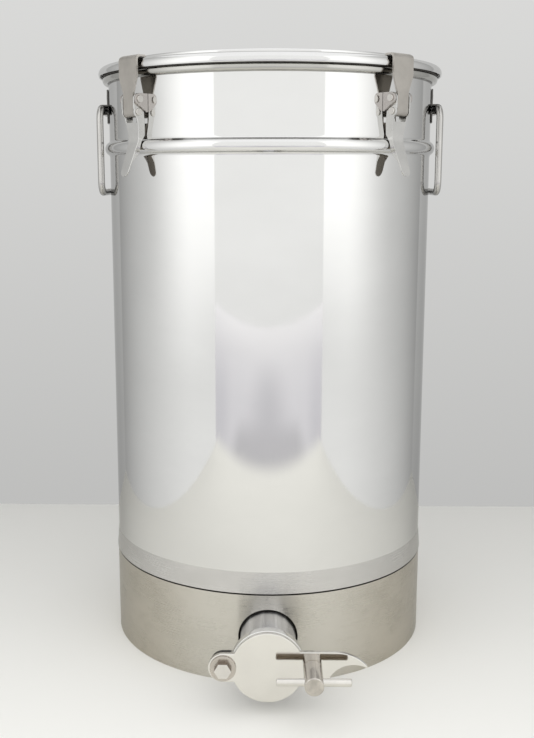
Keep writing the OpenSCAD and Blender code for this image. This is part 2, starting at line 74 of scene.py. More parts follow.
# %% Camera
PICTURE_LONG_SIDE = 738
FOCAL_PIXELS = 1029.1
SIDEWAYS_PIXELS = 18.85
CAMERA_PLACE = Vector((0.0, -1.0487, 0.4648))
CAMERA_PITCH = math.radians(-10.608)
CAMERA_ROLL = math.radians(-0.053)
CAMERA_YAW = math.radians(-1.161)


def aimed_camera():
    data = bpy.data.cameras.new("camera")
    data.sensor_width = 36.0
    data.lens = FOCAL_PIXELS / PICTURE_LONG_SIDE * data.sensor_width
    data.shift_x = SIDEWAYS_PIXELS / PICTURE_LONG_SIDE
    data.clip_start = 0.01
    camera = bpy.data.objects.new("camera", data)
    bpy.context.scene.collection.objects.link(camera)
    aim = Matrix.Rotation(-CAMERA_YAW, 4, "Z") @ Matrix.Rotation(math.pi / 2 + CAMERA_PITCH, 4, "X")
    camera.matrix_world = Matrix.Translation(CAMERA_PLACE) @ aim @ Matrix.Rotation(CAMERA_ROLL, 4, "Z")
    bpy.context.scene.camera = camera
    return camera


camera = aimed_camera()
bpy.context.scene.view_settings.view_transform = "Standard"
print("lens in mm:", round(camera.data.lens, 2))

# %% [markdown]
# ## A small kit for finishes
# Every finish here is steel, rubber or cloth with some variation in it. A material in Blender is a graph
# of nodes, and wiring one by hand is long-winded. This class keeps one material under construction, so
# that a finish reads as a few lines: a pattern, what it drives, and the fixed values of the shader.

# %% Finish kit
class Finish:
    """One material under construction. Patterns read the piece's own coordinates, in metres."""
    names = []

    def __init__(self, name):
        self.names.append(name)
        self.material = bpy.data.materials.new(name)
        self.material.use_nodes = True
        self.tree = self.material.node_tree
        self.shader = self.tree.nodes["Principled BSDF"]
        coordinates = self.add("ShaderNodeTexCoord")
        self.place = coordinates.outputs["Object"]
        self.normal = coordinates.outputs["Normal"]

    def add(self, kind, **settings):
        node = self.tree.nodes.new(kind)
        for key, value in settings.items():
            setattr(node, key, value)
        return node

    def feed(self, socket, value):
        """Join a node's output to a socket, or write a plain value on it."""
        if isinstance(value, bpy.types.NodeSocket):
            self.tree.links.new(value, socket)
        else:
            socket.default_value = value

    def along(self, axis):
        """The piece's own coordinate along X, Y or Z."""
        split = self.add("ShaderNodeSeparateXYZ")
        self.feed(split.inputs[0], self.place)
        return split.outputs[axis]

    def vectors(self, operation, a, b=None):
        """Arithmetic on two vectors, or on one where the operation takes one."""
        node = self.add("ShaderNodeVectorMath", operation=operation)
        self.feed(node.inputs[0], a)
        if b is not None:
            self.feed(node.inputs[1], b)
        return node.outputs["Value" if operation in ("DOT_PRODUCT", "LENGTH") else "Vector"]

    def level(self):
        """The way from the tank's axis to a place, without its height."""
        return self.vectors("MULTIPLY", self.place, (1.0, 1.0, 0.0))

    def radius(self):
        """How far a place is from the tank's axis."""
        return self.vectors("LENGTH", self.level())

    def facing(self, way):
        """How far the surface faces a way: 1 is towards it and -1 is away from it."""
        return self.vectors("DOT_PRODUCT", self.normal, way)

    def noise(self, stretch, detail=3.0, soft=0.5, shift=0.0):
        """Noise with so many spots to the metre along x, y and z."""
        mapping = self.add("ShaderNodeMapping")
        mapping.inputs["Scale"].default_value = stretch
        mapping.inputs["Location"].default_value = (shift, shift, shift)
        self.feed(mapping.inputs["Vector"], self.place)
        texture = self.add("ShaderNodeTexNoise")
        texture.inputs["Scale"].default_value = 1.0
        texture.inputs["Detail"].default_value = detail
        texture.inputs["Roughness"].default_value = soft
        self.feed(texture.inputs["Vector"], mapping.outputs["Vector"])
        return texture.outputs["Fac"]

    def spread(self, value, low, high, to_low=0.0, to_high=1.0):
        """Stretch the part of a value between low and high, with smooth ends."""
        node = self.add("ShaderNodeMapRange", interpolation_type="SMOOTHSTEP")
        self.feed(node.inputs["Value"], value)
        for name, number in zip(("From Min", "From Max", "To Min", "To Max"), (low, high, to_low, to_high)):
            node.inputs[name].default_value = number
        return node.outputs["Result"]

    def sums(self, operation, a, b=0.0):
        """Arithmetic on two values, or on one where the operation takes one."""
        node = self.add("ShaderNodeMath", operation=operation)
        self.feed(node.inputs[0], a)
        self.feed(node.inputs[1], b)
        return node.outputs["Value"]

    def between(self, share, a, b):
        """Blend two colours, or two sockets, by a share from 0 to 1."""
        node = self.add("ShaderNodeMix", data_type="RGBA")
        self.feed(node.inputs["Factor"], share)
        for socket, value in zip((node.inputs[6], node.inputs[7]), (a, b)):
            self.feed(socket, value if isinstance(value, bpy.types.NodeSocket) else (*value, 1.0))
        return node.outputs[2]

    def bumps(self, height, depth, strength, under=None):
        """Raise the surface by a pattern, in metres, on top of another bump if there is one."""
        node = self.add("ShaderNodeBump")
        node.inputs["Distance"].default_value = depth
        node.inputs["Strength"].default_value = strength
        self.feed(node.inputs["Height"], height)
        if under is not None:
            self.feed(node.inputs["Normal"], under)
        return node.outputs["Normal"]

    def done(self, **sockets):
        """Feed the shader's sockets, named with _ for a blank, and hand the material over."""
        for name, value in sockets.items():
            self.feed(self.shader.inputs[name.replace("_", " ")], value)
        return self.material


# %% [markdown]
# ## Steel
# All the steel here shares one recipe. A grain that is stretched along the tool's path drives roughness and
# a very shallow bump. Broad smudges shift the colour and the gloss a little, as handling does. Sparse
# hairline scratches cross the grain. What differs is the direction of the grain and how strong it is.

# %% Steel recipe
LINES_SHARE = 0.45
SCRATCHED = (0.69, 0.80)
SCRATCH_ROUGHNESS = 0.05
SCRATCH_FINENESS = 2.2
NOISE_SPAN = (0.3, 0.7)
GRAIN_STRENGTH = 0.35
SHEET_WAVES = (7.0, 7.0, 3.0)


def steel(name, colour, gloss, grain, smudge, tint=0.06, cut=0.00004, wave=0.0, edge=0.8, smear=None,
          drawn=0.85, special=None):
    """gloss is (smoothest, roughest), grain and smudge are spots to the metre along x, y and z.
    tint is how far the smudges shift the colour. cut is the depth of the grain and wave that of the sheet's
    broad waves, in metres. edge is how much of the light a glancing view keeps. smear is the way that
    brushing draws out a reflection, which is across the grain, and drawn is how far. special adds what only
    one place shows."""
    f = Finish(name)
    lines = f.noise(grain, detail=4.0, soft=0.6)
    marks = f.noise(smudge, detail=5.0, soft=0.62, shift=3.7)
    scratch_way = tuple(SCRATCH_FINENESS * g for g in reversed(grain))
    scratches = f.spread(f.noise(scratch_way, detail=2.0, shift=9.1), *SCRATCHED)
    shade = f.sums("ADD", f.sums("MULTIPLY", lines, LINES_SHARE),
                   f.sums("MULTIPLY", marks, 1.0 - LINES_SHARE))
    dark = tuple(c * (1.0 - tint) for c in colour)
    pale = tuple(min(1.0, c * (1.0 + tint)) for c in colour)
    rough = f.spread(shade, *NOISE_SPAN, *gloss)
    rough = f.sums("ADD", rough, f.sums("MULTIPLY", scratches, SCRATCH_ROUGHNESS))
    normal = f.bumps(lines, cut, GRAIN_STRENGTH)
    if wave:
        normal = f.bumps(f.noise(SHEET_WAVES, detail=1.0, shift=1.3), wave, 1.0, normal)
    shown = f.between(f.spread(marks, 0.25, 0.75), dark, pale)
    if special:
        shown, rough, normal = special(f, shown, rough, normal)
    if smear:
        way = f.add("ShaderNodeCombineXYZ")
        for socket, number in zip(way.inputs, smear):
            socket.default_value = number
        f.done(Anisotropic=drawn, Tangent=way.outputs[0])
    return f.done(Base_Color=shown, Metallic=1.0, Roughness=rough, Normal=normal,
                  Specular_Tint=(edge, edge, edge, 1.0))


# %% [markdown]
# ## Marks that only one place shows
# Some finishes have a mark at one place. Painted shade darkens the groove between the wall and the skirt,
# the gap round the pipe, and the ears behind the gate and the flange's back. The skirt's front round the tap
# is painted paler, which is painted light. Each mark is a mask on the piece's own coordinates or normals,
# over the plain finish.

# %% Painted shade, and a painted paler front
# Painted shade for crevices: the groove above the skirt, the gap round the pipe and the gasket's open edge.
PAINTED_SHADE_TONE = (0.045, 0.04, 0.034)
SHADED_ROUGHNESS = 0.4
GROOVE_FLOOR = 0.08622
# A paler front painted on the skirt round the tap, which is painted light.
PALE_FRONT_HALF = 0.05
PAINTED_FRONT_LIGHT = (0.68, 0.665, 0.62)
PALE_FRONT_SHARE = 0.6
PAN_WALL_R = 0.1545
EAR_START = 0.03
# Painted shade for the flange's ears and its back.
EAR_SHADE = (0.07, 0.07, 0.072)
BACKWARDS = (0.0, 1.0, 0.0)


def shade_finish(f, painted_shade, shown, rough, normal):
    """A finish with painted shade on it where the mask is 1."""
    return (f.between(painted_shade, shown, PAINTED_SHADE_TONE),
            f.sums("ADD", rough, f.sums("MULTIPLY", painted_shade, SHADED_ROUGHNESS)), normal)


def groove_shade_and_pale_front(f, shown, rough, normal):
    """Painted shade on everything that lies inside the groove above the skirt, and a front painted paler as
    painted light.
    """
    sideways = f.sums("ABSOLUTE", f.along("X"))
    front = f.sums("MULTIPLY", f.spread(sideways, 2.4 * PALE_FRONT_HALF, PALE_FRONT_HALF),
                   f.spread(f.along("Y"), 0.0, -PALE_FRONT_HALF))
    shown = f.between(f.sums("MULTIPLY", front, PALE_FRONT_SHARE), shown, PAINTED_FRONT_LIGHT)
    return shade_finish(f, f.spread(f.along("Z"), GROOVE_FLOOR - 0.0001, GROOVE_FLOOR), shown, rough, normal)


def gap_shade(f, shown, rough, normal):
    """Painted shade on the pan's outer wall, which shows in the gap round the pipe."""
    return shade_finish(f, f.spread(f.radius(), PAN_WALL_R - 0.0005, PAN_WALL_R), shown, rough, normal)


def flange_shade(f, shown, rough, normal):
    """Painted shade on the flange's ears behind the gate, and on its back."""
    ear = f.spread(f.sums("ABSOLUTE", f.along("X")), EAR_START, EAR_START + 0.003)
    back = f.spread(f.facing(BACKWARDS), 0.3, 0.8)
    return f.between(f.sums("MAXIMUM", ear, back), shown, EAR_SHADE), rough, normal


# These marks paint shade, and the groove mark also paints the skirt's front paler, as painted light.
print("dirt marks:", [mark.__name__ for mark in (groove_shade_and_pale_front, gap_shade, flange_shade)])

# %% [markdown]
# ## Marks of the making, and painted shade
# The wall was welded into a tube, and the weld was ground flat, which leaves a frosted line down the back.
# The bolt and the stud end in a thread, and the bolt's head has painted shade on its sides. The latches have
# painted shade on the side that faces the tank, the clamp's bar on the side that faces the gate, and the handle
# straps at their ends. These are masks as well, and the weld and the thread also raise the surface.

# %% Welding, threads and painted shade
WELD_HALF = 0.0012
WELD_TONE = (0.58, 0.57, 0.55)
WELD_RIPPLE = (200.0, 200.0, 900.0)
WELD_ROUGHNESS = 0.3
WELD_HEIGHT = 0.0002
# Painted shade on the latches' side that faces the tank.
LATCH_BACK_SHADE = (0.27, 0.245, 0.21)
# Painted shade on the back of the clamp's bar.
BAR_BACK_SHADE = (0.18, 0.145, 0.11)
# Painted shade on the ends of the handle straps.
STRAP_END_SHADE = (0.10, 0.097, 0.092)
THREAD_START = -0.2
THREAD_PITCH = 0.00125
THREAD_DEPTH = 0.0004
HEAD_BACK = -0.219
HEAD_FRONT = -0.2258
# Painted shade on the sides of the bolt's head.
HEAD_SIDE_SHADE = (0.30, 0.26, 0.22)


def wall_weld(f, shown, rough, normal):
    """The ground weld down the back of the wall."""
    near = f.spread(f.sums("ABSOLUTE", f.along("X")), 1.4 * WELD_HALF, WELD_HALF)
    weld = f.sums("MULTIPLY", near, f.spread(f.along("Y"), 0.0, 0.02))
    ripple = f.noise(WELD_RIPPLE, detail=3.0, shift=2.0)
    raised = f.bumps(f.sums("MULTIPLY", ripple, weld), WELD_HEIGHT, 0.6, normal)
    frosted = f.sums("ADD", rough, f.sums("MULTIPLY", weld, WELD_ROUGHNESS))
    return f.between(weld, shown, WELD_TONE), frosted, raised


def shaded_back(f, shown, rough, normal):
    """Painted shade on the side turned to the tank."""
    back = f.spread(f.facing(f.vectors("NORMALIZE", f.level())), -0.2, -0.7)
    return f.between(back, shown, LATCH_BACK_SHADE), rough, normal


def shaded_bar_back(f, shown, rough, normal):
    """Painted shade on the side of the clamp's bar that faces the gate."""
    back = f.spread(f.facing(BACKWARDS), 0.1, 0.7)
    return f.between(back, shown, BAR_BACK_SHADE), rough, normal


def shaded_strap_ends(f, shown, rough, normal):
    """Painted shade on the ends of a handle strap."""
    end = f.spread(f.sums("ABSOLUTE", f.facing(BACKWARDS)), 0.45, 0.8)
    return f.between(end, shown, STRAP_END_SHADE), rough, normal


def thread_and_shaded_head(f, shown, rough, normal):
    """Turns of thread behind the nuts, and painted shade on the head's sides, which are darker than its front.
    """
    y = f.along("Y")
    turns = f.sums("SINE", f.sums("MULTIPLY", y, 2 * math.pi / THREAD_PITCH))
    behind = f.spread(y, THREAD_START - 0.0002, THREAD_START)
    head = f.sums("MULTIPLY", f.spread(y, HEAD_BACK, HEAD_BACK - 0.0005),
                  f.spread(y, HEAD_FRONT, HEAD_FRONT + 0.0003))
    return (f.between(head, shown, HEAD_SIDE_SHADE), rough,
            f.bumps(f.sums("MULTIPLY", turns, behind), THREAD_DEPTH, 1.0, normal))


making_and_shade_marks = (wall_weld, shaded_back, shaded_bar_back, shaded_strap_ends, thread_and_shaded_head)
print("marks of the making:", [mark.__name__ for mark in making_and_shade_marks])

# %% [markdown]
# ## Every steel
# The wall and the lid were polished until they mirror. The band and the skirt were brushed round the tank,
# the pipe and the knob were turned, and the stampings keep a fine tumbled grain. The numbers below say just
# that: a colour, a range of gloss, a direction of grain and the size of the smudges.

# %% Steel finishes
AROUND = (14.0, 14.0, 2600.0)
UPRIGHT = (900.0, 900.0, 3.0)
ALONG_TAP = (1500.0, 30.0, 1500.0)
ACROSS_TAP = (25.0, 2400.0, 25.0)
EVERYWHERE = (700.0, 700.0, 700.0)

mirror_sheet = steel("mirror_sheet", (0.75, 0.75, 0.745), (0.035, 0.075), UPRIGHT, (5.0, 5.0, 9.0),
                     tint=0.03, cut=0.000004, wave=0.0006, edge=0.66, special=wall_weld)
mirror_lid = steel("mirror_lid", (0.75, 0.75, 0.745), (0.05, 0.11), AROUND, (9.0, 9.0, 9.0),
                   tint=0.03, cut=0.000006)
rolled_rim = steel("rolled_rim", (0.51, 0.505, 0.48), (0.09, 0.16), AROUND, (9.0, 9.0, 9.0), cut=0.00001)
brushed_band = steel("brushed_band", (0.62, 0.61, 0.595), (0.22, 0.30), AROUND, (14.0, 14.0, 30.0),
                     cut=0.000003, smear=(0, 0, 1), drawn=0.95)
pan_sheet = steel("pan_sheet", (0.68, 0.67, 0.66), (0.24, 0.34), AROUND, (14.0, 14.0, 30.0), cut=0.00002,
                  special=gap_shade)
brushed_skirt = steel("brushed_skirt", (0.545, 0.512, 0.45), (0.23, 0.35), AROUND, (16.0, 16.0, 26.0),
                      tint=0.10, cut=0.000008, smear=(0, 0, 1), drawn=0.95, special=groove_shade_and_pale_front)
# The pipe's grey leans a little blue, which is a painted reflection of the cool room in front.
turned_pipe = steel("turned_pipe", (0.71, 0.715, 0.745), (0.18, 0.28), ACROSS_TAP, (130.0, 4.0, 130.0),
                    tint=0.24, smear=(0, 1, 0))
turned_flange = steel("turned_flange", (0.86, 0.86, 0.85), (0.10, 0.18), ACROSS_TAP, (20.0, 20.0, 20.0),
                      special=flange_shade)
polished_gate = steel("polished_gate", (0.805, 0.79, 0.755), (0.05, 0.10), ALONG_TAP, (30.0, 30.0, 30.0),
                      tint=0.03, cut=0.000006)
polished_lever = steel("polished_lever", (0.68, 0.675, 0.66), (0.09, 0.16), EVERYWHERE, (40.0, 40.0, 40.0),
                       tint=0.08, cut=0.00001, special=shaded_back)
stamped_hook = steel("stamped_hook", (0.50, 0.475, 0.44), (0.30, 0.42), (160.0, 160.0, 1600.0),
                     (60.0, 60.0, 60.0), tint=0.08, special=shaded_back)
stamped_bracket = steel("stamped_bracket", (0.54, 0.51, 0.49), (0.16, 0.26), EVERYWHERE, (50.0, 50.0, 50.0),
                        special=shaded_back)
bent_bar = steel("bent_bar", (0.54, 0.53, 0.515), (0.14, 0.24), (250.0, 250.0, 60.0), (40.0, 40.0, 40.0))
strap_steel = steel("strap_steel", (0.48, 0.47, 0.455), (0.16, 0.26), (250.0, 250.0, 60.0),
                    (40.0, 40.0, 40.0), special=shaded_strap_ends)
turned_knob = steel("turned_knob", (0.54, 0.51, 0.47), (0.14, 0.24), ACROSS_TAP, (150.0, 6.0, 150.0),
                    tint=0.2)
polished_bar = steel("polished_bar", (0.74, 0.72, 0.68), (0.08, 0.14), EVERYWHERE, (60.0, 60.0, 60.0),
                     special=shaded_bar_back)
dull_washer = steel("dull_washer", (0.56, 0.52, 0.475), (0.20, 0.30), EVERYWHERE, (80.0, 80.0, 80.0))
bright_fastener = steel("bright_fastener", (0.70, 0.68, 0.65), (0.16, 0.25), EVERYWHERE, (80.0, 80.0, 80.0))
threaded_steel = steel("threaded_steel", (0.76, 0.74, 0.71), (0.16, 0.25), EVERYWHERE, (80.0, 80.0, 80.0),
                       special=thread_and_shaded_head)
weld_metal = steel("weld_metal", (0.58, 0.57, 0.56), (0.28, 0.42), (500.0, 500.0, 500.0),
                   (200.0, 200.0, 200.0), tint=0.15, cut=0.0002)
print("steel finishes:", len(Finish.names))

# %% [markdown]
# ## Rubber
# The lid's gasket is pale silicone and the tap's ring is black rubber. Both are soft, so their gloss is
# broad, and a fine mottle keeps them from looking like painted metal. The gasket's outer edge lies open in
# the gap below the lid, and painted shade covers it there, so the gap reads as a dark line.

# %% Rubber finishes
GASKET_EDGE_R = 0.1615
MOTTLE = (300.0, 300.0, 300.0)


def rubber(name, colour, gloss, shaded_from=None):
    """Its last argument is the radius from which painted shade covers it, if any does."""
    f = Finish(name)
    mottle = f.noise(MOTTLE, detail=4.0)
    dark = tuple(c * 0.88 for c in colour)
    shown = f.between(mottle, dark, colour)
    if shaded_from:
        shown = f.between(f.spread(f.radius(), shaded_from - 0.001, shaded_from), shown, PAINTED_SHADE_TONE)
    return f.done(Base_Color=shown, Roughness=f.spread(mottle, *NOISE_SPAN, *gloss),
                  Normal=f.bumps(mottle, 0.0001, 0.3))


# The gasket's open edge gets painted shade.
silicone = rubber("silicone", (0.86, 0.84, 0.78), (0.40, 0.55), shaded_from=GASKET_EDGE_R)
black_rubber = rubber("black_rubber", (0.03, 0.03, 0.03), (0.45, 0.6))
print("rubber finishes:", silicone.name, black_rubber.name)

# %% [markdown]
# ## Pieces from a lathe
# The tank's wall and lid are round, and Blender's spin operator works as a lathe does: it sweeps an outline
# round an axis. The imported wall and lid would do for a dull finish, but their facets would show in a mirror,
# so these two are spun again here from the same radii, with far finer steps.

# %% Lathe and piece helpers
SHARP = math.radians(35)
SPIN_STEPS = 300


def piece(name, bm, body, finish, stands_for=()):
    """Make a finished mesh a piece of the object, on its body."""
    mesh = bpy.data.meshes.new(name)
    bm.to_mesh(mesh)
    bm.free()
    mesh.shade_smooth()
    mesh.set_sharp_from_angle(angle=SHARP)
    obj = bpy.data.objects.new(name, mesh)
    bpy.context.scene.collection.objects.link(obj)
    mesh.materials.append(finish)
    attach(obj, body)
    if stands_for:
        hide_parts(*stands_for)
    even = obj.modifiers.new("even", "WEIGHTED_NORMAL")
    even.keep_sharp = True
    return obj


def arc(centre, radius, start, end, steps):
    """Points on a round stretch of an outline, with the angles in degrees."""
    angles = [math.radians(start + (end - start) * i / steps) for i in range(steps + 1)]
    return [(centre[0] + radius * math.cos(a), centre[1] + radius * math.sin(a)) for a in angles]


def spun(outline, steps, closed=True):
    """Spin an outline of (radius, height) round +Z. An open outline starts and ends on the axis."""
    bm = bmesh.new()
    verts = [bm.verts.new((r, 0.0, z)) for r, z in outline]
    pairs = list(zip(verts, verts[1:])) + ([(verts[-1], verts[0])] if closed else [])
    edges = [bm.edges.new(pair) for pair in pairs]
    bmesh.ops.spin(bm, geom=verts + edges, cent=(0, 0, 0), axis=(0, 0, 1), angle=2 * math.pi,
                   steps=steps, use_merge=True)
    bmesh.ops.remove_doubles(bm, verts=bm.verts, dist=1e-7)
    bmesh.ops.recalc_face_normals(bm, faces=bm.faces)
    return bm


def in_mm(points):
    """An outline written in millimetres, in metres."""
    return [(r * MM, z * MM) for r, z in points]


print("steps round a mirror piece:", SPIN_STEPS)

# %% [markdown]
# ## The tank's wall
# The real wall is one sheet, rolled round and welded. A bead is pressed outwards to stiffen it, its rim is
# rolled over a wire, and its foot flares into a brushed band over the skirt. The outline below walks up the
# outside, round the roll and down the inside, with arcs for the bead and the roll. The roll is a little
# taller than it is wide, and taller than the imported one, as the photograph shows it.

# %% Tank wall
TANK_R = 157.5
WALL_T = 1.0
ROLL_R = 3.0
ROLL_TALL = 3.9
ROLL_LOW = 551.5
ROLL_MID_R = 160.0
ROLL_ARC = (213.6, 528.0)
ROLL_STEPS = 40
BEAD_Z = 491.0
BEAD_H = 13.0
BEAD_PROUD = 4.5
BEAD_TRIM = 9.0
SEAM_Z = 87.8
BAND_TOP = 108.3
BAND_FLARE = 1.5
BEAD_STEPS = 14
SOFT_REACH = 2.2
SOFT_OUT = 0.25
SOFT_UP = 0.5


def bead_outline(wall_r, downwards):
    """The bead's arc with small fillets where the wall runs into it."""
    crown = wall_r + BEAD_PROUD
    radius = (BEAD_PROUD ** 2 + (BEAD_H / 2) ** 2) / (2 * BEAD_PROUD)
    half = math.degrees(math.asin(BEAD_H / 2 / radius)) - BEAD_TRIM
    low = BEAD_Z - BEAD_H / 2
    high = BEAD_Z + BEAD_H / 2
    points = [(wall_r, low - SOFT_REACH), (wall_r + SOFT_OUT, low - SOFT_UP)]
    points += arc((crown - radius, BEAD_Z), radius, -half, half, BEAD_STEPS)
    points += [(wall_r + SOFT_OUT, high + SOFT_UP), (wall_r, high + SOFT_REACH)]
    return points[::-1] if downwards else points


def tank_wall():
    """The sheet, with its band brushed and its roll in a finish of its own."""
    inner_r = TANK_R - WALL_T
    roll_z = ROLL_LOW + ROLL_TALL
    outline = [(TANK_R + BAND_FLARE - 0.2, SEAM_Z), (TANK_R + BAND_FLARE, SEAM_Z + 0.2)]
    outline += [(TANK_R + 0.1, BAND_TOP - 1), (TANK_R + 0.03, BAND_TOP), (TANK_R, BAND_TOP + 1)]
    outline += bead_outline(TANK_R, False)
    round_roll = arc((ROLL_MID_R, 0), ROLL_R, *ROLL_ARC, ROLL_STEPS)
    outline += [(r, roll_z + z * ROLL_TALL / ROLL_R) for r, z in round_roll]
    outline += [(inner_r + 0.1, roll_z), (inner_r, roll_z - 0.5)]
    outline += bead_outline(inner_r, True)
    outline += [(inner_r, BAND_TOP), (inner_r + BAND_FLARE, SEAM_Z)]
    bm = spun(in_mm(outline), SPIN_STEPS)
    for face in bm.faces:
        height = face.calc_center_median().z / MM
        face.material_index = 1 if height < BAND_TOP else 2 if height > ROLL_LOW else 0
    wall = piece("tank_wall", bm, "tank", mirror_sheet, ["tank_body"])
    wall.data.materials.append(brushed_band)
    wall.data.materials.append(rolled_rim)
    return wall


wall = tank_wall()
print("tank wall faces:", len(wall.data.polygons))

# %% [markdown]
# ## The lid
# The lid is one pressing: a raised middle, a shelf for the gasket, a rim that curls round and a spigot that
# centres it in the tank. Its outline starts and ends on the axis, so the spin closes it at both poles. Its
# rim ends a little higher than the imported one, as the photograph shows it.

# %% Lid
LID_R = 166.8
LID_T = 1.2
LID_TOP = 567.0
LID_LOW = 558.35
LID_EDGE_R = 6.0
CROWN_R = 148.0
CROWN_H = 4.0
CROWN_SOFT = 1.6
CROWN_STEPS = 6
EDGE_STEPS = 22
SPIGOT_R = 156.2
SPIGOT_LOW = 547.0


def lid():
    """The pressing, from the middle of its top round to the middle of its underside."""
    edge = (LID_R - LID_EDGE_R, LID_TOP - LID_EDGE_R)
    crown_top = LID_TOP + CROWN_H
    shelf_low = LID_TOP - LID_T
    outline = [(0.0, crown_top)]
    outline += arc((CROWN_R - CROWN_SOFT, crown_top - CROWN_SOFT), CROWN_SOFT, 90, 0, CROWN_STEPS)
    outline += arc((CROWN_R + CROWN_SOFT, LID_TOP + CROWN_SOFT), CROWN_SOFT, 180, 270, CROWN_STEPS)
    curl = -math.degrees(math.asin((edge[1] - LID_LOW) / LID_EDGE_R))
    outline += arc(edge, LID_EDGE_R, 90, curl, EDGE_STEPS)
    outline += arc(edge, LID_EDGE_R - LID_T, curl, 90, EDGE_STEPS)
    outline += [(SPIGOT_R, shelf_low), (SPIGOT_R, SPIGOT_LOW), (SPIGOT_R - LID_T, SPIGOT_LOW)]
    outline += [(SPIGOT_R - LID_T, shelf_low), (CROWN_R - LID_T, shelf_low)]
    outline += [(CROWN_R - LID_T, crown_top - LID_T), (0.0, crown_top - LID_T)]
    bm = spun(in_mm(outline), SPIN_STEPS, closed=False)
    return piece("pressed_lid", bm, "tank", mirror_lid, ["lid"])


lid_piece = lid()
print("lid faces:", len(lid_piece.data.polygons))

# %% [markdown]
# ## Softened edges
# No stamped or turned piece has a knife edge. A tiny bevel on every sharp edge catches the light and makes a
# plate look like metal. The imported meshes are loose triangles, so a copy is merged first, its flat triangles
# are dissolved into whole faces, and then the sharp edges are bevelled. The plan below gives each piece the
# width of its bevel in millimetres, and its finish.

# %% Softened copies
FLAT = math.radians(0.4)
BEVEL_STEPS = 2


def softened(node, width, finish):
    """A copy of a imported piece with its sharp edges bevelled, standing for it."""
    source = nodes[node]
    bm = bmesh.new()
    bm.from_mesh(source.data)
    bmesh.ops.remove_doubles(bm, verts=bm.verts, dist=2e-6)
    bmesh.ops.dissolve_limit(bm, angle_limit=FLAT, verts=bm.verts, edges=bm.edges)
    sharp = [e for e in bm.edges if e.is_manifold and e.calc_face_angle() > SHARP]
    bmesh.ops.bevel(bm, geom=sharp, offset=width * MM, offset_type="OFFSET", affect="EDGES",
                    segments=BEVEL_STEPS, profile=0.5, material=-1, clamp_overlap=True)
    for face in bm.faces:
        face.material_index = 0
    return piece(node + "_soft", bm, source["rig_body"], finish, [node])


PLACES = ("front_right", "back_right", "back_left", "front_left")
SOFT_EDGES = {
    "gate_plate": (0.5, polished_gate),
    "valve_body": (0.5, turned_flange),
    "outlet_pipe": (0.2, turned_pipe),
    "pivot_bolt": (0.45, threaded_steel),
    "pivot_washer": (0.3, dull_washer),
    "valve_nuts": (0.45, bright_fastener),
    "clamp_stud": (0.4, threaded_steel),
    "clamp_knob": (0.25, turned_knob),
    "tommy_bar": (0.25, polished_bar),
    "base_skirt": (0.25, brushed_skirt),
    "handle_strap_left": (0.25, strap_steel),
    "handle_strap_right": (0.25, strap_steel),
}
for place in PLACES:
    SOFT_EDGES["latch_bracket_" + place] = (0.35, stamped_bracket)
    SOFT_EDGES["latch_lever_" + place] = (0.35, polished_lever)
    SOFT_EDGES["latch_hook_" + place] = (0.4, stamped_hook)
    SOFT_EDGES["pivot_rivets_" + place] = (0.5, bright_fastener)
    SOFT_EDGES["hook_rivet_" + place] = (0.5, bright_fastener)
soft_pieces = {node: softened(node, *plan) for node, plan in SOFT_EDGES.items()}
print("softened pieces:", len(soft_pieces))

# %% [markdown]
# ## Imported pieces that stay
# The bent handles, the pan and the two seals have the right shape already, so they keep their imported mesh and
# only get a finish.

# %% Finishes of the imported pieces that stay
KEPT = {"handle_left": bent_bar, "handle_right": bent_bar, "bottom_pan": pan_sheet,
        "lid_gasket": silicone, "valve_seal": black_rubber}
for node, finish in KEPT.items():
    nodes[node].data.materials.clear()
    nodes[node].data.materials.append(finish)
print("packed pieces that stay:", len(KEPT))

# %% [markdown]
# ## The pipe's weld
# The pipe is welded to the tap's flange. A weld bead is a row of overlapping ripples, and a bump in the
# material would leave its outline plain. So a thin ring is spun round the pipe, then swelled and pinched
# along its way.

# %% Pipe weld
TAP_Z = 45.0
PIPE_R = 25.5
FLANGE_BACK = 206.5
WELD_R = 1.4
WELD_SIDES = 12
WELD_SUNK = 0.4
RIPPLES = 64
RIPPLE_STEPS = 4
RIPPLE_SWELL = 0.16


def pipe_weld():
    """A rippled ring in the corner between the pipe and the flange."""
    bm = bmesh.new()
    upright = Matrix.Translation((PIPE_R * MM, 0, 0)) @ Matrix.Rotation(math.pi / 2, 4, "X")
    bmesh.ops.create_circle(bm, segments=WELD_SIDES, radius=WELD_R * MM, matrix=upright)
    bmesh.ops.spin(bm, geom=bm.verts[:] + bm.edges[:], cent=(0, 0, 0), axis=(0, 0, 1), angle=2 * math.pi,
                   steps=RIPPLE_STEPS * RIPPLES, use_merge=True)
    bmesh.ops.remove_doubles(bm, verts=bm.verts, dist=1e-7)
    for vert in bm.verts:
        turn = math.atan2(vert.co.y, vert.co.x)
        core = Vector((math.cos(turn), math.sin(turn), 0)) * PIPE_R * MM
        vert.co = core + (vert.co - core) * (1 + RIPPLE_SWELL * math.sin(RIPPLES * turn))
    bmesh.ops.rotate(bm, verts=bm.verts, cent=(0, 0, 0), matrix=Matrix.Rotation(math.pi / 2, 3, "X"))
    bmesh.ops.translate(bm, verts=bm.verts, vec=(0, (WELD_SUNK - FLANGE_BACK) * MM, TAP_Z * MM))
    bmesh.ops.recalc_face_normals(bm, faces=bm.faces)
    return piece("pipe_weld", bm, "tank", weld_metal)


pipe_weld_piece = pipe_weld()
print("pipe weld faces:", len(pipe_weld_piece.data.polygons))

# %% [markdown]
# ## Spot welds
# Each handle strap is spot welded to the wall in three places. A spot weld is the shallow dimple that two
# electrodes leave, so it is spun from a small profile and copied along the strap.

# %% Spot welds
STRAP_FACE_R = 159.2
SPOT_Z = 540.0
SPOT_STEPS = 24
SPOT_OUTLINE = [(0.0, 0.08), (1.3, 0.05), (1.9, 0.22), (2.4, 0.2), (2.9, -0.05), (0.0, -0.05)]


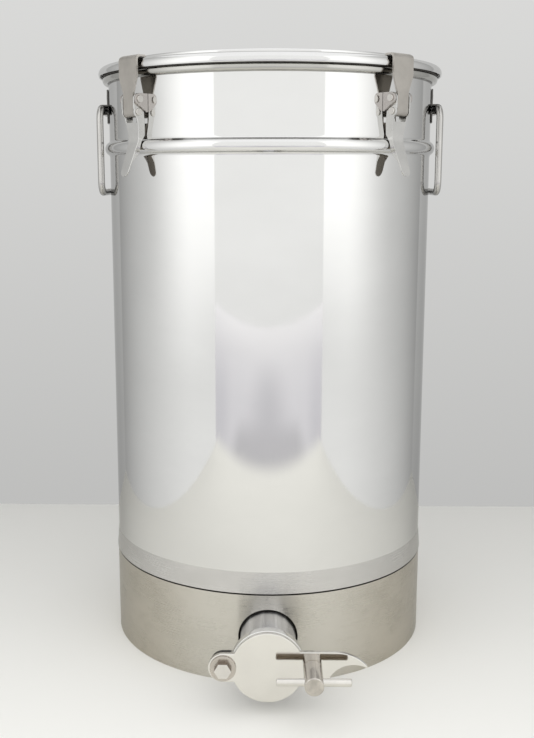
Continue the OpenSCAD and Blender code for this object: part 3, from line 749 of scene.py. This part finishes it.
def on_strap(azimuth):
    """The place on a strap's face at an azimuth in degrees, counted from the tap towards +X."""
    turn = math.radians(azimuth)
    out = Vector((math.sin(turn), -math.cos(turn), 0))
    place = Matrix.Translation(out * STRAP_FACE_R * MM + Vector((0, 0, SPOT_Z * MM)))
    return place @ out.to_track_quat("Z", "Y").to_matrix().to_4x4()


def spot_welds(name, azimuths):
    """One dimple for each azimuth, as one piece."""
    bm = spun(in_mm(SPOT_OUTLINE), SPOT_STEPS, closed=False)
    first = bm.verts[:] + bm.edges[:] + bm.faces[:]
    spots = [first] + [bmesh.ops.duplicate(bm, geom=first)["geom"] for azimuth in azimuths[1:]]
    for spot, azimuth in zip(spots, azimuths):
        verts = [g for g in spot if isinstance(g, bmesh.types.BMVert)]
        bmesh.ops.transform(bm, matrix=on_strap(azimuth), verts=verts)
    return piece(name, bm, "tank", weld_metal)


spots = [spot_welds("spot_welds_right", (83, 90, 97)), spot_welds("spot_welds_left", (263, 270, 277))]
print("spot weld faces:", [len(s.data.polygons) for s in spots])

# %% [markdown]
# ## The studio
# The tank stood in a light tent: a white cloth on a table, bright cloth walls to the left and right, a grey
# back wall and an open front. A mirror finish shows all of that, so the tent is built at its real size. The
# walls are lit cloth. Seen from outside they would hide the tank, so there they let the camera through.

# %% Tent
TABLE_HALF = 0.58
TABLE_FRONT = -0.834
BACK_Y = 0.37
WALL_TOP = 1.3
FLOOR_HALF = 6.0
ROOM_HALF = 3.0
ROOM_FRONT = -2.4
ROOM_TOP = 2.5
STAGE_MIDDLE = Vector((0.0, 0.0, 0.3))


def plate(name, corners):
    """A flat sheet of stage through four corners, facing the tank."""
    bm = bmesh.new()
    face = bm.faces.new([bm.verts.new(c) for c in corners])
    face.normal_update()
    if face.normal.dot(STAGE_MIDDLE - face.calc_center_median()) < 0:
        face.normal_flip()
    mesh = bpy.data.meshes.new(name)
    bm.to_mesh(mesh)
    bm.free()
    obj = bpy.data.objects.new(name, mesh)
    bpy.context.scene.collection.objects.link(obj)
    return obj


print("tent in metres:", 2 * TABLE_HALF, "wide and", round(BACK_Y - TABLE_FRONT, 3), "deep")

# %% [markdown]
# ## The floor
# The floor is one sheet. On the table it is white cloth, with a weave and soft folds. Beyond the table's
# edges it is the room's floor, which a mirror sees as a darker patch with a soft outline. The middle and close
# patches there are painted shade on the room's floor in front of the table. Each patch is a mask, and each
# pair of numbers below is where a mask starts and where it is full.

# %% Floor cloth
TABLE_SEEN = (0.892, 0.888, 0.862)
TABLE_MIRRORED = (0.84, 0.83, 0.785)
ROOM_SEEN = (0.55, 0.545, 0.53)
ROOM_NEAR = (0.665, 0.655, 0.68)
ROOM_FAR = (0.70, 0.69, 0.70)
ROOM_FLANK = (0.59, 0.58, 0.61)
# The middle and close tones are painted shade on the room's floor in front of the table.
ROOM_MIDDLE_SHADE = (0.54, 0.53, 0.555)
ROOM_CLOSE_SHADE = (0.505, 0.495, 0.515)
BESIDE_TABLE = (TABLE_HALF, TABLE_HALF + 0.01)
BEFORE_TABLE = (TABLE_FRONT + 0.03, TABLE_FRONT - 0.10)
ROOM_DEPTH = (-1.1, -2.4)
FLANK_SLANT = (0.42, 0.62)
FLANK_DEPTH = (-2.0, -1.0)
MIDDLE_WIDTH = (0.42, 0.0)
MIDDLE_DEPTH = (-2.0, -1.25)
CLOSE_WIDTH = (0.48, 0.30)
CLOSE_DEPTH = (-1.22, -0.98)
WEAVE = (900.0, 900.0, 900.0)
WEAVE_HEIGHT = 0.0002
FOLDS = (3.0, 2.0, 1.0)
FOLD_HEIGHT = 0.004


def floor_cloth():
    """White cloth on the table and the room's floor beyond its edges, which mirrors see dark close by, where
    painted shade lies in front of the table.
    """
    f = Finish("floor_cloth")
    y = f.along("Y")
    sideways = f.sums("ABSOLUTE", f.along("X"))
    camera_sees = f.add("ShaderNodeLightPath").outputs["Is Camera Ray"]
    beside = f.spread(sideways, *BESIDE_TABLE)
    before = f.spread(y, *BEFORE_TABLE)
    slant = f.sums("DIVIDE", sideways, f.sums("MULTIPLY", y, -1.0))
    flank = f.sums("MULTIPLY", f.spread(slant, *FLANK_SLANT), f.spread(y, *FLANK_DEPTH))
    middle = f.sums("MULTIPLY", f.spread(sideways, *MIDDLE_WIDTH), f.spread(y, *MIDDLE_DEPTH))
    close = f.sums("MULTIPLY", f.spread(y, *CLOSE_DEPTH), f.spread(sideways, *CLOSE_WIDTH))
    room = f.between(f.spread(y, *ROOM_DEPTH), ROOM_NEAR, ROOM_FAR)
    for mask, tone in ((flank, ROOM_FLANK), (middle, ROOM_MIDDLE_SHADE), (close, ROOM_CLOSE_SHADE),
                       (camera_sees, ROOM_SEEN)):
        room = f.between(mask, room, tone)
    table = f.between(camera_sees, TABLE_MIRRORED, TABLE_SEEN)
    weave = f.noise(WEAVE, detail=2.0)
    folds = f.noise(FOLDS, detail=2.0, shift=5.0)
    normal = f.bumps(folds, FOLD_HEIGHT, 0.4, f.bumps(weave, WEAVE_HEIGHT, 0.15))
    return f.done(
        Base_Color=f.between(f.sums("MAXIMUM", beside, before), table, room), Roughness=0.9,
        Specular_IOR_Level=0.1, Normal=normal)


floor = plate("floor", [(-FLOOR_HALF, -FLOOR_HALF, 0), (FLOOR_HALF, -FLOOR_HALF, 0),
                        (FLOOR_HALF, FLOOR_HALF, 0), (-FLOOR_HALF, FLOOR_HALF, 0)])
floor.data.materials.append(floor_cloth())
print("floor cloth on:", floor.name)

# %% [markdown]
# ## Lit cloth
# The walls of a light tent are cloth with lamps behind it. Real lamps behind real cloth would be slow to
# render and leave grain in the mirror, so each wall simply glows. Its glow varies along it, and each pair of
# numbers below is where a change starts and ends, or the glow there. The camera need not see what the mirror
# sees: it sees the side walls and the front wall as a plain grey.

# %% Lit cloth
CLOTH_LIGHT = (1.0, 1.0, 0.985, 1.0)
SIDE_DEPTH = (0.45, -0.55)
SIDE_GLOW = (0.46, 0.95)
LAMP_DEPTH = (-0.05, -0.5)
LAMP_RISE = (0.12, 0.5)
LAMP_GLOW = (0.0, 0.46)
BACK_RISE = (-0.3, 0.95)
BACK_GLOW = (0.483, 0.718)
FRONT_RISE = (-0.3, 0.5)
FRONT_WALL_GLOW = (0.95, 1.08)


def lit_cloth(name, glow, seen=None, fill=1.0):
    """Glowing cloth. From outside it hides nothing. The camera sees the tone in seen, if there is one.
    fill is how much more it lights other cloth than mirrors show."""
    f = Finish(name)
    path = f.add("ShaderNodeLightPath")
    geometry = f.add("ShaderNodeNewGeometry")
    light = f.add("ShaderNodeEmission")
    light.inputs["Color"].default_value = CLOTH_LIGHT
    more = f.sums("MULTIPLY", path.outputs["Is Diffuse Ray"], fill - 1.0)
    strength = f.sums("MULTIPLY", glow(f), f.sums("ADD", more, 1.0))
    if seen is not None:
        aside = f.sums("SUBTRACT", 1.0, path.outputs["Is Camera Ray"])
        strength = f.sums("ADD", f.sums("MULTIPLY", strength, aside),
                          f.sums("MULTIPLY", path.outputs["Is Camera Ray"], seen))
    f.feed(light.inputs["Strength"], strength)
    clear = f.add("ShaderNodeBsdfTransparent")
    outside = f.sums("MULTIPLY", path.outputs["Is Camera Ray"], geometry.outputs["Backfacing"])
    mix = f.add("ShaderNodeMixShader")
    f.feed(mix.inputs[0], outside)
    f.feed(mix.inputs[1], light.outputs[0])
    f.feed(mix.inputs[2], clear.outputs[0])
    f.feed(f.tree.nodes["Material Output"].inputs["Surface"], mix.outputs[0])
    return f.material


def side_glow(f):
    """Dim at the back, bright in front, and brightest high up where the lamps are."""
    y = f.along("Y")
    forward = f.spread(y, *SIDE_DEPTH, *SIDE_GLOW)
    lamp = f.sums("MULTIPLY", f.spread(y, *LAMP_DEPTH), f.spread(f.along("Z"), *LAMP_RISE, *LAMP_GLOW))
    return f.sums("ADD", forward, lamp)


def back_glow(f):
    """A grey back that grows paler upwards."""
    return f.spread(f.along("Z"), *BACK_RISE, *BACK_GLOW)


def front_glow(f):
    """The lit room in front, a little paler upwards."""
    return f.spread(f.along("Z"), *FRONT_RISE, *FRONT_WALL_GLOW)


print("patterns of glow:", [glow.__name__ for glow in (side_glow, back_glow, front_glow)])

# %% [markdown]
# ## The tent's walls
# Each wall is one flat sheet. The side walls stand on the table's edges and the back wall behind the tank.
# The room in front of the tent ends in a wall of its own, further away and wider. It lights the cloth more
# strongly than it shows in the mirror.

# %% Tent walls
SEEN_GREY = 0.6
FRONT_FILL = 2.3
left_wall = plate("left_wall", [(-TABLE_HALF, BACK_Y, 0), (-TABLE_HALF, TABLE_FRONT, 0),
                                (-TABLE_HALF, TABLE_FRONT, WALL_TOP), (-TABLE_HALF, BACK_Y, WALL_TOP)])
right_wall = plate("right_wall", [(TABLE_HALF, TABLE_FRONT, 0), (TABLE_HALF, BACK_Y, 0),
                                  (TABLE_HALF, BACK_Y, WALL_TOP), (TABLE_HALF, TABLE_FRONT, WALL_TOP)])
back_wall = plate("back_wall", [(TABLE_HALF, BACK_Y, 0), (-TABLE_HALF, BACK_Y, 0),
                                (-TABLE_HALF, BACK_Y, WALL_TOP), (TABLE_HALF, BACK_Y, WALL_TOP)])
front_wall = plate("front_wall", [(-ROOM_HALF, ROOM_FRONT, 0), (ROOM_HALF, ROOM_FRONT, 0),
                                  (ROOM_HALF, ROOM_FRONT, ROOM_TOP), (-ROOM_HALF, ROOM_FRONT, ROOM_TOP)])
side_cloth = lit_cloth("side_cloth", side_glow, SEEN_GREY)
for side in (left_wall, right_wall):
    side.data.materials.append(side_cloth)
back_wall.data.materials.append(lit_cloth("back_cloth", back_glow))
front_wall.data.materials.append(lit_cloth("front_cloth", front_glow, SEEN_GREY, fill=FRONT_FILL))
print("walls of lit cloth:", [w.name for w in (left_wall, right_wall, back_wall, front_wall)])

# %% [markdown]
# ## Light from above and in front
# The tent is open in front and at the top. The world stands for the lit room there: a pale, slightly cool
# front and a brighter ceiling. What the camera sees straight past the tent is a plain pale grey.

# %% World
FRONT_GLOW = (1.03, 1.02, 1.06)
CEILING_GLOW = (1.15, 1.15, 1.15)
PLAIN_GREY = (0.62, 0.62, 0.615)
RISE_START = 0.1
RISE_END = 0.7


def room_light():
    """Light from the room, paler upwards, and a plain grey where the camera looks straight into it."""
    world = bpy.data.worlds.new("room")
    bpy.context.scene.world = world
    world.use_nodes = True
    tree = world.node_tree
    background = tree.nodes["Background"]
    place = tree.nodes.new("ShaderNodeTexCoord")
    split = tree.nodes.new("ShaderNodeSeparateXYZ")
    tree.links.new(place.outputs["Generated"], split.inputs[0])
    rise = tree.nodes.new("ShaderNodeMapRange")
    rise.inputs["From Min"].default_value = RISE_START
    rise.inputs["From Max"].default_value = RISE_END
    tree.links.new(split.outputs["Z"], rise.inputs["Value"])
    path = tree.nodes.new("ShaderNodeLightPath")
    glow = tree.nodes.new("ShaderNodeMix")
    glow.data_type = "RGBA"
    glow.inputs[6].default_value = (*FRONT_GLOW, 1.0)
    glow.inputs[7].default_value = (*CEILING_GLOW, 1.0)
    tree.links.new(rise.outputs["Result"], glow.inputs["Factor"])
    seen = tree.nodes.new("ShaderNodeMix")
    seen.data_type = "RGBA"
    seen.inputs[7].default_value = (*PLAIN_GREY, 1.0)
    tree.links.new(path.outputs["Is Camera Ray"], seen.inputs["Factor"])
    tree.links.new(glow.outputs[2], seen.inputs[6])
    tree.links.new(seen.outputs[2], background.inputs["Color"])
    background.inputs["Strength"].default_value = 1.0
    return world


room = room_light()
print("world:", room.name)
